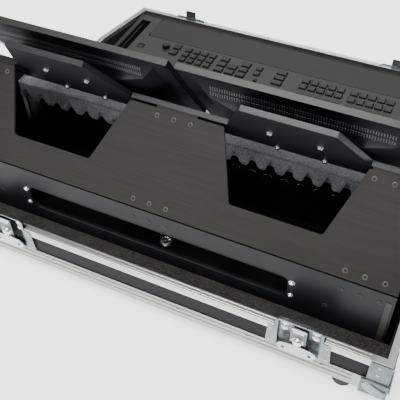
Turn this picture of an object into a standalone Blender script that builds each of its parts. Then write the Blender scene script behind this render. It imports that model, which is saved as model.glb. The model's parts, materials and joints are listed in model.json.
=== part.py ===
# Lighting control desk in its flight-case base, with a folded-plate stand
# and two display screens.
#
# Design frame used while drawing (millimetres):
#   u  = across, seen from behind the desk, to the right
#   v  = depth, from the rear outer face of the case towards the operator
#   z  = height above the underside of the case
# World frame (metres): +Z up, +Y rear, -Y operator, origin under the middle.
import bpy
import bmesh
import math
from mathutils import Matrix, Vector
from mathutils.geometry import tessellate_polygon

for ob in list(bpy.data.objects):
    bpy.data.objects.remove(ob, do_unlink=True)

# ----------------------------------------------------------------- dimensions
CASE_HALF_W = 545.0       # outer half width of the case
CASE_D = 1000.0           # outer depth of the case
FOOT_H = 30.0             # rubber feet
Z_REAR = 116.0            # rim height at the rear
Z_FRONT = 68.0            # rim height at the operator's side
V_SLOPE0 = 729.0          # side walls start to fall here
V_SLOPE1 = 985.0          # and reach the front height here
SKIN = 2.0                # thickness of the aluminium extrusions
GAP = 0.3                 # assembly gap between touching pieces
PLY = 9.0                 # laminated plywood
RIM_W = 15.0              # width of the rim extrusion
RIM_H = 21.5              # height of its outer flange
LIP_H = 8.0               # height of its inner lip
ANGLE_H = 45.0            # bottom angle, vertical leg
ANGLE_W = 30.0            # bottom angle, horizontal leg
FOAM_REAR = 40.0          # rear foam lining
FOAM_SIDE = 7.5           # side foam lining
FOAM_FRONT = 30.0         # front foam lining
FOAM_CLEAR = 0.5          # foam stops just under the rim lip
LATCH_U = (-357.0, 357.0)         # rear latches
LATCH_U_FRONT = (-370.0, 308.0)   # front latches
NOTCH = 52.0              # half width of the notch in the rim at a latch

# stand
SLOPE = math.radians(44.6)        # tilt of the main plate
LEAN = math.radians(34.0)         # lean of the standing plate
MP_V, MP_Z = 64.0, 272.0          # rear screw row of the main plate (top face)
MP_LOW, MP_HIGH = -15.3, 191.3    # extent of the main plate along its slope
SP_V, SP_Z = 193.5, 428.1         # upper screen screw row (rear face of plate)
PLATE = 6.0
S_RIDGE, S_TOP, S_LOW = 28.0, -105.0, 110.0   # ridge, flap tops and lower edge of the upper plate
PLATE_THICK = 12.0
STAND_HALF = 512.0
SCREW_PITCH = 37.5
SCREW_GROUPS = (-447.0, 0.0, 447.0)
SCREEN_PITCH = 504.0              # distance between the two screens
FLAP_TOP, FLAP_BASE = 90.0, 144.0  # half widths of the flaps

# desk
DESK_HALF = 520.0
DESK_REAR, DESK_FRONT = 322.0, 950.0
DESK_TOP = 75.0           # control surface
DESK_BACK_TOP = 201.0     # raised rear part
PAD_REAR, PAD_TOP = 312.0, 252.0  # convoluted foam pad lying on it
DESK_BASE = 11.6
V_BRK0, V_BRK1 = 640.0, 480.0     # foot and head of the raised part

# ------------------------------------------------------------------- helpers


def W(u, v, z):
    """Design millimetres to world metres."""
    return Vector((-u / 1000.0, -(v - CASE_D / 2) / 1000.0, (z + FOOT_H) / 1000.0))


def material(name, rgb, rough, metal=0.0):
    m = bpy.data.materials.get(name)
    if m:
        return m
    m = bpy.data.materials.new(name)
    m.use_nodes = True
    b = m.node_tree.nodes["Principled BSDF"]
    b.inputs["Base Color"].default_value = (*rgb, 1.0)
    b.inputs["Roughness"].default_value = rough
    b.inputs["Metallic"].default_value = metal
    return m


PALETTE = {
    "laminate": ((0.012, 0.012, 0.016), 0.5, 0.0),
    "aluminium": ((0.70, 0.70, 0.71), 0.32, 1.0),
    "zinc": ((0.55, 0.60, 0.60), 0.35, 1.0),
    "steel": ((0.60, 0.60, 0.60), 0.30, 1.0),
    "plate": ((0.020, 0.020, 0.022), 0.38, 0.2),
    "foam": ((0.045, 0.042, 0.040), 0.95, 0.0),
    "grey_foam": ((0.16, 0.17, 0.19), 0.95, 0.0),
    "housing": ((0.055, 0.055, 0.058), 0.55, 0.0),
    "key": ((0.020, 0.020, 0.022), 0.55, 0.0),
    "screen_shell": ((0.012, 0.014, 0.020), 0.35, 0.0),
    "glass": ((0.010, 0.010, 0.012), 0.08, 0.0),
    "rubber": ((0.015, 0.015, 0.015), 0.8, 0.0),
    "board": ((0.02, 0.12, 0.05), 0.5, 0.0),
    "plywood": ((0.30, 0.19, 0.10), 0.7, 0.0),
}


class Part:
    """Builds one named object out of closed shells, united into one body."""

    def __init__(self, name, mat, origin=None):
        self.name, self.mat = name, mat
        self.origin = W(*origin) if origin else Vector((0, 0, 0))
        self.shells = []
        self.bm = None

    def begin(self, how="UNION"):
        """Start another shell; how says what it does to the ones before it."""
        self.bm = bmesh.new()
        self.shells.append((self.bm, how))

    def v(self, p):
        return self.bm.verts.new(Vector(p) - self.origin)

    def done(self, smooth=None):
        made = []
        for k, (bm, how) in enumerate(self.shells):
            bmesh.ops.recalc_face_normals(bm, faces=bm.faces)
            me = bpy.data.meshes.new(self.name + "_shell%d" % k)
            bm.to_mesh(me)
            bm.free()
            ob = bpy.data.objects.new(me.name, me)
            ob.location = self.origin
            bpy.context.scene.collection.objects.link(ob)
            made.append((ob, how))
        base = made[0][0]
        for ob, how in made[1:]:
            m = base.modifiers.new("join", "BOOLEAN")
            m.operation, m.solver, m.object = how, "EXACT", ob
        dg = bpy.context.evaluated_depsgraph_get()
        me = bpy.data.meshes.new_from_object(base.evaluated_get(dg))
        me.name = self.name
        for ob, how in made[1:]:
            bpy.data.objects.remove(ob, do_unlink=True)
        base.modifiers.clear()
        base.data = me
        base.name = self.name
        rgb, rough, metal = PALETTE[self.mat]
        me.materials.clear()
        me.materials.append(material(self.mat, rgb, rough, metal))
        if smooth:
            me.shade_smooth()
            me.set_sharp_from_angle(angle=math.radians(smooth))
        return base


def prism(part, loops, frame, c0, c1, how="UNION"):
    """Closed prism of a 2-D outline with holes. frame(a, b, c) -> world."""
    part.begin(how)
    flat = [p for lp in loops for p in lp]
    lo = [part.v(frame(p[0], p[1], c0)) for p in flat]
    hi = [part.v(frame(p[0], p[1], c1)) for p in flat]
    if len(loops) == 1:
        part.bm.faces.new(lo)
        part.bm.faces.new(list(reversed(hi)))
    else:
        for t in tessellate_polygon([[Vector((p[0], p[1], 0)) for p in lp] for lp in loops]):
            part.bm.faces.new([lo[i] for i in t])
            part.bm.faces.new([hi[i] for i in reversed(t)])
    k = 0
    for lp in loops:
        n = len(lp)
        for i in range(n):
            a, b = k + i, k + (i + 1) % n
            part.bm.faces.new([lo[a], lo[b], hi[b], hi[a]])
        k += n


def box(part, u0, u1, v0, v1, z0, z1, how="UNION"):
    prism(part, [[(u0, v0), (u1, v0), (u1, v1), (u0, v1)]],
          lambda a, b, c: W(a, b, c), z0, z1, how)


def f_uv(a, b, c):
    return W(a, b, c)


def f_uz(a, b, c):
    return W(a, c, b)


def f_vz(a, b, c):
    return W(c, a, b)


def main_frame(a, b, c):
    """a = across, b = up the slope, c = height over the main plate's top face."""
    cs, sn = math.cos(SLOPE), math.sin(SLOPE)
    return W(a, MP_V + b * cs - c * sn, MP_Z + b * sn + c * cs)


def stand_frame(a, s, o):
    """a = across, s = down the standing plate, o = offset to the operator."""
    cs, sn = math.cos(LEAN), math.sin(LEAN)
    return W(a, SP_V + s * sn + o * cs, SP_Z - s * cs + o * sn)


def rect(a0, a1, b0, b1):
    return [(a0, b0), (a1, b0), (a1, b1), (a0, b1)]


def circle(a, b, r, n=16, start=0.0):
    return [(a + r * math.cos(start + 2 * math.pi * i / n),
             b + r * math.sin(start + 2 * math.pi * i / n)) for i in range(n)]


def rounded(points, r, seg=3):
    """Round every corner of an outline."""
    out = []
    n = len(points)
    for i in range(n):
        p0, p1, p2 = (Vector(points[i - 1]), Vector(points[i]), Vector(points[(i + 1) % n]))
        d0, d1 = (p0 - p1).normalized(), (p2 - p1).normalized()
        ang = d0.angle(d1)
        t = min(r / math.tan(ang / 2), (p0 - p1).length * 0.45, (p2 - p1).length * 0.45)
        rr = t * math.tan(ang / 2)
        bis = (d0 + d1).normalized()
        c = p1 + bis * (rr / math.sin(ang / 2))
        a0, a1 = p1 + d0 * t - c, p1 + d1 * t - c
        for k in range(seg + 1):
            f = k / seg
            w = a0.lerp(a1, f)
            w = w.normalized() * rr
            q = c + w
            out.append((q.x, q.y))
    return out


def side_top(v):
    """Rim height of the side walls."""
    if v <= V_SLOPE0:
        return Z_REAR
    if v >= V_SLOPE1:
        return Z_FRONT
    f = (v - V_SLOPE0) / (V_SLOPE1 - V_SLOPE0)
    return Z_REAR + (Z_FRONT - Z_REAR) * f


def disc(part, u, v, z, r, axis, c0, c1, n=16):
    """Cylinder along a design axis."""
    if axis == "v":
        prism(part, [circle(u, z, r, n)], f_uz, c0, c1)
    elif axis == "z":
        prism(part, [circle(u, v, r, n)], f_uv, c0, c1)
    else:
        prism(part, [circle(v, z, r, n)], f_vz, c0, c1)


# ---------------------------------------------------------------------- case
WALL0 = SKIN + GAP                 # outer face of the plywood
WALL1 = WALL0 + PLY                # inner face of the plywood
IN_U = CASE_HALF_W - WALL1 - GAP   # clear half width inside the walls

p = Part("case_bottom_board", "plywood")
box(p, -CASE_HALF_W + WALL0, CASE_HALF_W - WALL0, WALL0, CASE_D - WALL0, SKIN + GAP, SKIN + GAP + 8.7)
p.done()
BOARD_TOP = SKIN + GAP + 8.7       # 11.0
WALL_Z0 = BOARD_TOP + GAP


LATCH_LOW = {"case_wall_rear": 73.0, "case_wall_front": 24.0}


def end_wall(name, v0, v1, ztop, latches):
    """Rear or front plywood wall with pockets open to the top at the latches."""
    q = Part(name, "laminate")
    h = CASE_HALF_W - WALL0
    floor = ztop + SKIN + GAP - LATCH_LOW[name] + 7.0
    pts = [(-h, WALL_Z0), (h, WALL_Z0), (h, ztop)]
    for lu in sorted(latches, reverse=True):
        pts += [(lu + 49.0, ztop), (lu + 49.0, floor), (lu - 49.0, floor), (lu - 49.0, ztop)]
    pts += [(-h, ztop)]
    prism(q, [pts], f_uz, v0, v1)
    q.done()


end_wall("case_wall_rear", WALL0, WALL1, Z_REAR - SKIN - GAP, LATCH_U)
end_wall("case_wall_front", CASE_D - WALL1, CASE_D - WALL0, Z_FRONT - SKIN - GAP, LATCH_U_FRONT)

for side, sg in (("left", 1.0), ("right", -1.0)):
    # left and right as the operator names them: the operator's left is +u
    p = Part("case_wall_" + side, "laminate")
    a, b = WALL1 + GAP, CASE_D - WALL1 - GAP
    pts = [(a, WALL_Z0), (b, WALL_Z0), (b, side_top(b) - SKIN - GAP),
           (V_SLOPE1, Z_FRONT - SKIN - GAP), (V_SLOPE0, Z_REAR - SKIN - GAP), (a, Z_REAR - SKIN - GAP)]
    u0, u1 = sorted((sg * (CASE_HALF_W - WALL0), sg * (CASE_HALF_W - WALL1)))
    prism(p, [pts], f_vz, u0, u1)
    p.done()

# rim extrusion: outer flange, top web and inner lip


def rim_profile():
    return [(0.0, -RIM_H), (0.0, 0.0), (RIM_W, 0.0), (RIM_W, -LIP_H),
            (RIM_W - SKIN, -LIP_H), (RIM_W - SKIN, -SKIN), (SKIN, -SKIN), (SKIN, -RIM_H)]


def sweep(part, prof, stations, frame):
    """Profile (inward, height) carried through stations (position, base height)."""
    part.begin()
    rings = []
    for pos, base in stations:
        rings.append([part.v(frame(a, pos, base + dz)) for a, dz in prof])
    n = len(prof)
    for r0, r1 in zip(rings[:-1], rings[1:]):
        for i in range(n):
            j = (i + 1) % n
            part.bm.faces.new([r0[i], r0[j], r1[j], r1[i]])
    tris = tessellate_polygon([[Vector((a, b, 0)) for a, b in prof]])
    for t in tris:
        part.bm.faces.new([rings[0][i] for i in reversed(t)])
        part.bm.faces.new([rings[-1][i] for i in t])


p = Part("rim_frame", "aluminium")
sweep(p, rim_profile(), [(-CASE_HALF_W, Z_REAR), (CASE_HALF_W, Z_REAR)], lambda i, pos, z: W(pos, i, z))
sweep(p, rim_profile(), [(-CASE_HALF_W, Z_FRONT), (CASE_HALF_W, Z_FRONT)], lambda i, pos, z: W(pos, CASE_D - i, z))
for sg in (1.0, -1.0):
    a, b = RIM_W - 1.5, CASE_D - RIM_W + 1.5
    sweep(p, rim_profile(), [(a, Z_REAR), (V_SLOPE0, Z_REAR), (V_SLOPE1, Z_FRONT), (b, Z_FRONT)],
          lambda i, pos, z, s=sg: W(s * (CASE_HALF_W - i), pos, z))
# the side walls pass under the cross rails at the corners
for sg in (1.0, -1.0):
    u0, u1 = sorted((sg * (CASE_HALF_W - WALL1 - GAP), sg * (CASE_HALF_W - SKIN)))
    box(p, u0, u1, SKIN, RIM_W + 1.0, Z_REAR - RIM_H - 1.0, Z_REAR - SKIN, "DIFFERENCE")
    box(p, u0, u1, CASE_D - RIM_W - 1.0, CASE_D - SKIN, Z_FRONT - RIM_H - 1.0, Z_FRONT - SKIN, "DIFFERENCE")
# the inner edge of the rim runs on behind each latch dish
for lu in LATCH_U:
    box(p, lu - NOTCH, lu + NOTCH, -1.0, 10.5, Z_REAR - RIM_H - 1.0, Z_REAR + 1.0, "DIFFERENCE")
for lu in LATCH_U_FRONT:
    box(p, lu - NOTCH, lu + NOTCH, CASE_D - 10.5, CASE_D + 1.0, Z_FRONT - RIM_H - 1.0, Z_FRONT + 1.0, "DIFFERENCE")
p.done()

p = Part("bottom_angle_frame", "aluminium")
prof = [(0.0, ANGLE_H), (0.0, 0.0), (ANGLE_W, 0.0), (ANGLE_W, SKIN), (SKIN, SKIN), (SKIN, ANGLE_H)]
sweep(p, prof, [(-CASE_HALF_W, 0.0), (CASE_HALF_W, 0.0)], lambda i, pos, z: W(pos, i, z))
sweep(p, prof, [(-CASE_HALF_W, 0.0), (CASE_HALF_W, 0.0)], lambda i, pos, z: W(pos, CASE_D - i, z))
for sg in (1.0, -1.0):
    sweep(p, prof, [(1.0, 0.0), (CASE_D - 1.0, 0.0)], lambda i, pos, z, s=sg: W(s * (CASE_HALF_W - i), pos, z))
# rivet heads along the angle
RIVET_STEP, RIVET_Z = 164.0, 29.5
for k in range(-3, 3):
    for v0, v1 in ((-1.5, 1.0), (CASE_D - 1.0, CASE_D + 1.5)):
        disc(p, (k + 0.5) * RIVET_STEP, 0, RIVET_Z, 4.2, "v", v0, v1, 8)
for k in range(-2, 3):
    for sg in (1.0, -1.0):
        u0, u1 = sorted((sg * (CASE_HALF_W - 1.0), sg * (CASE_HALF_W + 1.5)))
        disc(p, 0, CASE_D / 2 + k * RIVET_STEP, RIVET_Z, 4.2, "u", u0, u1, 8)
p.done()

# ball corners: three-faced caps over the lower corners, and the plates above
BALL = 52.0
PROUD = 5.0


def corner_frame(su, rear):
    def fr(a, b, c):      # a inward along u, b inward along v, c up
        return W(su * (CASE_HALF_W - a), b if rear else CASE_D - b, c)
    return fr


def cap_corner(part, fr, s, out, hgt, top):
    """Cap over a lower corner with the brace plate that rises from it."""
    angle = [(-out, -out), (s, -out), (s, -GAP), (-GAP, -GAP), (-GAP, s), (-out, s)]
    prism(part, [angle], fr, -out, hgt)
    prism(part, [rect(-1.5, s, -1.5, s)], fr, -out, -GAP)
    brace = [(-1.8, -1.8), (43.0, -1.8), (43.0, -GAP), (-GAP, -GAP), (-GAP, 43.0), (-1.8, 43.0)]
    prism(part, [brace], fr, hgt - 1.0, top)


for su, lr in ((1.0, "left"), (-1.0, "right")):
    for rear, fb in ((True, "rear"), (False, "front")):
        p = Part("ball_corner_%s_%s" % (fb, lr), "zinc")
        cap_corner(p, corner_frame(su, rear), BALL, PROUD, 46.0, (Z_REAR if rear else Z_FRONT) - 3.0)
        p.done()

# foam lining: one loop lying against the walls, cut down along the falling sides
p = Part("foam_lining", "foam")
FZ0 = BOARD_TOP + 0.6
FU = IN_U - 0.5
F0, F1 = WALL1 + 1.0, CASE_D - WALL1 - 1.0
prism(p, [rect(-FU, FU, F0, F1), rect(-FU + FOAM_SIDE, FU - FOAM_SIDE, F0 + FOAM_REAR, F1 - FOAM_FRONT)],
      f_uv, FZ0, Z_REAR - LIP_H - FOAM_CLEAR)
drop = LIP_H + FOAM_CLEAR
prism(p, [[(V_SLOPE0, Z_REAR - drop), (V_SLOPE1, Z_FRONT - drop), (CASE_D, Z_FRONT - drop), (CASE_D, Z_REAR + 5.0),
           (V_SLOPE0, Z_REAR + 5.0)]], f_vz, -CASE_HALF_W, CASE_HALF_W, "DIFFERENCE")
p.done()

for fu, lr in ((455.0, "left"), (-455.0, "right")):
    for fv, fb in ((27.0, "rear"), (CASE_D - 27.0, "front")):
        p = Part("rubber_foot_%s_%s" % (fb, lr), "rubber")
        disc(p, fu, fv, 0, 23.0, "z", -FOOT_H, -GAP, 20)
        p.done(40)

# ------------------------------------------------------------------- latches
# A latch is a recessed dish, a drum that turns in it and carries the hook,
# and a two-winged handle hinged on the drum.


def latch_frame(lu, rear):
    def fr(a, b, c):      # a across, b height over the underside, c outwards from the case face
        return W(lu + a, -c, b) if rear else W(lu - a, CASE_D + c, b)
    return fr


LATCHES = []
for tag, lu in zip(("rear_right", "rear_left"), LATCH_U):
    LATCHES.append((tag, lu, True, Z_REAR))
for tag, lu in zip(("front_right", "front_left"), LATCH_U_FRONT):
    LATCHES.append((tag, lu, False, Z_FRONT))

# rear and front latches: flange depth below the rim, drum drop and radius, hook rise
LATCH_GEO = {True: (73.0, 41.0, 13.0, 17.0), False: (24.0, 8.5, 5.5, 22.0)}


def dish(part, fr, rim, low, rise):
    """Flange with ears, and a tray sunk 9 mm into the wall."""
    ear, mid = 70.0, 48.0
    zl, zs, zt = rim - low, rim - 6.0, rim + rise
    part.begin()
    outer = [(-ear + 8, zl), (ear - 8, zl), (ear, zl + 8), (ear - 4, zs), (mid + 2.5, zs), (mid + 2.5, zt - 6), (mid - 4, zt),
             (-mid + 4, zt), (-mid - 2.5, zt - 6), (-mid - 2.5, zs), (-ear + 4, zs), (-ear, zl + 8)]
    hole = rect(-mid + 3.0, mid - 3.0, zl + 9.0, zt - 4.0)
    hole_b = rect(-mid + 1.8, mid - 1.8, zl + 7.8, zt - 2.8)
    f0, f1 = 1.5, GAP
    depth_i, depth_o = -7.8, -9.0
    front = [part.v(fr(a, b, f0)) for a, b in outer]
    back = [part.v(fr(a, b, f1)) for a, b in outer]
    hf = [part.v(fr(a, b, f0)) for a, b in hole]
    hb = [part.v(fr(a, b, f1)) for a, b in hole_b]
    ti = [part.v(fr(a, b, depth_i)) for a, b in hole]
    to = [part.v(fr(a, b, depth_o)) for a, b in hole_b]
    F = part.bm.faces.new
    V3 = lambda lp: [Vector((x, y, 0)) for x, y in lp]
    for ring_o, ring_i, l2 in ((front, hf, hole), (back, hb, hole_b)):
        allv = ring_o + ring_i
        for t in tessellate_polygon([V3(outer), V3(l2)]):
            F([allv[i] for i in t])
    n = len(outer)
    for i in range(n):
        F([front[i], front[(i + 1) % n], back[(i + 1) % n], back[i]])
    for i in range(4):
        j = (i + 1) % 4
        F([hf[i], hf[j], ti[j], ti[i]])
        F([hb[i], hb[j], to[j], to[i]])
    F(ti)
    F(to)


for tag, lu, rear, rim in LATCHES:
    p = Part("latch_dish_" + tag, "zinc")
    dish(p, latch_frame(lu, rear), rim, LATCH_GEO[rear][0], 25.0 if rear else 2.0)
    p.done()

WING_PIVOT_C = 7.4
WING_REACH = 31.0
for tag, lu, rear, rim in LATCHES:
    fr = latch_frame(lu, rear)
    low, drop, rad, rise = LATCH_GEO[rear]
    zc = rim - drop
    d = Part("latch_drum_" + tag, "zinc", (lu, 0.0 if rear else CASE_D, zc))
    # the turning drum and the hook plate it carries
    prism(d, [circle(0, zc, rad, 20)], fr, -7.2, 3.2)
    prism(d, [rounded([(-17, zc - rad), (17, zc - rad), (17, rim + rise), (-17, rim + rise)], 5.0, 2)], fr, 2.5, 4.5)
    d.done(35)
    wl = Part("latch_wing_" + tag, "zinc",
              (lu, -WING_PIVOT_C if rear else CASE_D + WING_PIVOT_C, zc))
    # butterfly outline: two round lobes joined across the drum
    lobe, zb = 15.5, zc - WING_REACH
    pts = []
    for i in range(9):
        a = math.radians(-100 + 180 * i / 8)
        pts.append((26.0 + lobe * math.cos(a), zb + lobe + lobe * math.sin(a)))
    pts += [(9.0, zc + 1.5), (-9.0, zc + 1.5)]
    for i in range(9):
        a = math.radians(100 + 180 * i / 8)
        pts.append((-26.0 + lobe * math.cos(a), zb + lobe + lobe * math.sin(a)))
    holes = [circle(28.0, zb + 14.5, 4.5, 10), circle(-28.0, zb + 14.5, 4.5, 10)]
    prism(wl, [pts] + holes, fr, 6.2, 8.6)
    wl.done(35)

# ---------------------------------------------------------------------- desk
DZ0 = DESK_BASE
PAN_T = 3.0


def desk_profile(inset, zlow):
    """Side outline of the desk body (v, z)."""
    return [(DESK_REAR + inset, zlow), (DESK_FRONT - inset, zlow), (DESK_FRONT - inset, DESK_TOP - 4.0),
            (V_BRK0, DESK_TOP - 4.0), (V_BRK1, DESK_BACK_TOP - 4.0), (DESK_REAR + inset, DESK_BACK_TOP - 4.0)]


# chassis: a pan with low walls, and the solid end cheeks of the desk
p = Part("desk_chassis", "housing")
PX0 = DESK_HALF - 13.0
p.begin()
outer = rect(-PX0, PX0, DESK_REAR + 7.0, DESK_FRONT - 1.0)
inner = rect(-PX0 + 4.5, PX0 - 4.5, DESK_REAR + 10.0, DESK_FRONT - 4.0)
vb = [p.v(W(a, b, DZ0 + 0.2)) for a, b in outer]
vt = [p.v(W(a, b, 60.0)) for a, b in outer]
it = [p.v(W(a, b, 60.0)) for a, b in inner]
ib = [p.v(W(a, b, DZ0 + PAN_T)) for a, b in inner]
F = p.bm.faces.new
F(vb)
F(ib)
for i in range(4):
    j = (i + 1) % 4
    F([vb[i], vb[j], vt[j], vt[i]])
    F([vt[i], vt[j], it[j], it[i]])
    F([it[i], it[j], ib[j], ib[i]])
for sg in (1.0, -1.0):
    u0, u1 = sorted((sg * DESK_HALF, sg * (DESK_HALF - 14.0)))
    pts = [(DESK_REAR, DZ0), (DESK_FRONT, DZ0), (DESK_FRONT, DESK_TOP), (V_BRK0 + 2.0, DESK_TOP),
           (V_BRK1 + 1.5, DESK_BACK_TOP + 1.0), (DESK_REAR, DESK_BACK_TOP + 1.0)]
    prism(p, [pts], f_vz, u0, u1)
p.done()

REC0, REC1 = 474.0, DESK_HALF - 14.3     # side recesses beside the face panel

# ---- key layout on the control surface, all from group origin and pitch
KEY_Z0, KEY_Z1 = 66.0, 81.0
KEY_GAP = 0.6
PANEL_Z0, PANEL_Z1 = DESK_TOP - 3.5, DESK_TOP

PLAYBACK_BANK = 142.5       # second bank of playback keys, beside the first

# zone: blocks of keys, each (first u, first v, pitch u, pitch v, columns, rows, width, depth, left out)
ZONES = {
    "keys_shift": [(-330.0, 797.0, 27.0, 30.0, 1, 2, 24.0, 21.0, ())],
    "keys_numeric": [(-290.0, 776.0, 27.0, 24.7, 4, 3, 20.0, 18.0, ())],
    "keys_command": [(-168.5, 773.0, 35.0, 26.5, 2, 3, 27.0, 19.0, ((1, 2),)),
                     (-99.5, 773.0, 43.0, 26.0, 1, 3, 27.0, 19.0, ()),
                     (-56.5, 798.0, 30.0, 25.0, 1, 2, 18.0, 17.0, ()),
                     (-50.0, 766.0, 30.0, 25.0, 1, 1, 9.0, 9.0, ()),
                     (12.0, 780.0, 30.0, 24.5, 1, 3, 30.0, 17.0, ())],
    "keys_playback": [(88.5, 793.0, 26.0, 27.0, 5, 2, 21.0, 19.0, ()),
                      (88.5 + PLAYBACK_BANK, 788.0, 26.0, 32.0, 5, 2, 21.0, 19.0, ())],
}


def key_centres(block):
    u0, v0, pu, pv, nu, nv, w, dd, skip = block
    for i in range(nu):
        for j in range(nv):
            if (i, j) not in skip:
                yield u0 + i * pu, v0 + j * pv


FADERS = [88.5 + 26.0 * i for i in range(5)] + [231.0 + 26.0 * i for i in range(5)]
FADER_V0, FADER_V1 = 664.0, 736.0          # ends of the fader slot
WHEEL_U, WHEEL_V = -440.0, 793.0
KNOB_U, KNOB_V = -363.0, 813.0

COVER_U, COVER_V0 = 446.0, 851.0           # front cover plate
COVER_V1 = DESK_FRONT - 1.0

holes = []
for blocks in ZONES.values():
    for spec in blocks:
        for ku, kv in key_centres(spec):
            hw, hd = spec[6] / 2 + KEY_GAP, spec[7] / 2 + KEY_GAP
            holes.append(rect(ku - hw, ku + hw, kv - hd, kv + hd))
for fu in FADERS:
    holes.append(rect(fu - 1.8, fu + 1.8, FADER_V0, FADER_V1))
holes.append(rect(WHEEL_U - 11.0, WHEEL_U + 11.0, WHEEL_V - 11.0, WHEEL_V + 11.0))
holes.append(circle(KNOB_U, KNOB_V, 4.0, 10))

p = Part("desk_face_panel", "housing")
PU = REC0 - GAP
PX = REC1                                  # full width, beyond the troughs
T0, T1 = V_BRK0 + 12.0 - GAP, DESK_FRONT - 26.0 + GAP
outline = [(-PX, V_BRK0 + 0.6), (PX, V_BRK0 + 0.6), (PX, T0), (PU, T0), (PU, T1), (PX, T1), (PX, COVER_V1),
           (COVER_U + GAP, COVER_V1), (COVER_U + GAP, COVER_V0 - 1.2),
           (-COVER_U - GAP, COVER_V0 - 1.2), (-COVER_U - GAP, COVER_V1),
           (-PX, COVER_V1), (-PX, T1), (-PU, T1), (-PU, T0), (-PX, T0)]
prism(p, [outline] + holes, f_uv, PANEL_Z0, PANEL_Z1)
p.done()

p = Part("desk_front_cover", "housing")
pts = rounded([(-COVER_U, COVER_V0), (COVER_U, COVER_V0), (COVER_U, COVER_V1), (-COVER_U, COVER_V1)], 14.0, 4)
prism(p, [pts], f_uv, PANEL_Z0, PANEL_Z1 + 0.5)
p.done()

# raised rear housing: folded sheet over the sloping and the flat part
p = Part("desk_rear_housing", "housing")
HU = DESK_HALF - 14.3
T = 3.0
sl = math.atan2(DESK_BACK_TOP - DESK_TOP, V_BRK0 - V_BRK1)
pts = [(V_BRK0, DESK_TOP), (V_BRK1, DESK_BACK_TOP), (DESK_REAR + 3.0, DESK_BACK_TOP), (DESK_REAR + 3.0, 61.0),
       (DESK_REAR + 3.0 + T, 61.0), (DESK_REAR + 3.0 + T, DESK_BACK_TOP - T),
       (V_BRK1 - T * math.tan(sl / 2), DESK_BACK_TOP - T), (V_BRK0 - 4.5, DESK_TOP - T)]
prism(p, [pts], f_vz, -HU, HU)
p.done()

CONN_Z = 174.5            # height of the socket row
SOCKET_U0, SOCKET_PITCH, SOCKETS = 82.3, 39.7, 9
p = Part("connector_strip", "steel")
s0, s1 = SOCKET_U0 - 20.0, SOCKET_U0 + (SOCKETS - 1) * SOCKET_PITCH + 20.0
prism(p, [rect(s0, s1, CONN_Z - 17.0, CONN_Z + 17.0)], f_uz, DESK_REAR + 1.2, DESK_REAR + 2.7)
for k in range(SOCKETS):
    cu = SOCKET_U0 + k * SOCKET_PITCH
    prism(p, [circle(cu, CONN_Z, 12.0, 14), circle(cu, CONN_Z, 9.8, 14)], f_uz, DESK_REAR - 2.0, DESK_REAR + 2.0)
    prism(p, [circle(cu, CONN_Z, 8.6, 12)], f_uz, DESK_REAR + 0.2, DESK_REAR + 2.0)
p.done(40)

# inside the desk
p = Part("control_board", "board")
box(p, -430.0, 430.0, 650.0, 930.0, 34.0, 35.6)
for bu in (-400.0, -135.0, 135.0, 400.0):
    for bv in (670.0, 910.0):
        disc(p, bu, bv, 0, 4.0, "z", DZ0 + PAN_T + GAP, 34.8, 8)
for fu in FADERS:
    box(p, fu - 6.0, fu + 6.0, FADER_V0 - 6.0, FADER_V1 + 6.0, 35.0, 60.0)
p.done()
p = Part("power_supply", "steel")
box(p, -460.0, -260.0, 400.0, 560.0, DZ0 + PAN_T + 0.4, 58.0)
p.done()

for i, fu in enumerate(FADERS):
    rest_v = FADER_V1 - 12.0          # zero is at the operator's end
    p = Part("fader_cap_%02d" % (i + 1), "key", (fu, rest_v, 78.0))
    # T-shaped: stem through the slot and a waisted cap
    pts = [(-1.2, 61.0), (1.2, 61.0), (1.2, 76.5), (6.5, 76.5), (6.5, 82.0), (4.5, 88.0), (-4.5, 88.0), (-6.5, 82.0), (-6.5, 76.5), (-1.2, 76.5)]
    prism(p, [pts], lambda a, b, c, U=fu, V=rest_v: W(U + a, V + c, b), -10.0, 10.0)
    p.done()

p = Part("level_wheel", "rubber", (WHEEL_U, WHEEL_V, 64.5))
prism(p, [circle(WHEEL_V, 64.5, 12.2, 24)], f_vz, WHEEL_U - 9.0, WHEEL_U + 9.0)
p.done(35)

p = Part("encoder_knob", "key", (KNOB_U, KNOB_V, 80.0))
p.begin()
ring = []
for r, z in ((3.0, 64.0), (3.0, 76.0), (11.5, 76.0), (11.0, 86.0), (9.5, 88.0)):
    ring.append([p.v(W(KNOB_U + r * math.cos(t), KNOB_V + r * math.sin(t), z))
                 for t in [2 * math.pi * k / 24 for k in range(24)]])
F = p.bm.faces.new
for r0, r1 in zip(ring[:-1], ring[1:]):
    for k in range(24):
        F([r0[k], r0[(k + 1) % 24], r1[(k + 1) % 24], r1[k]])
F(ring[0])
F(ring[-1])
p.done(35)

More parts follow.
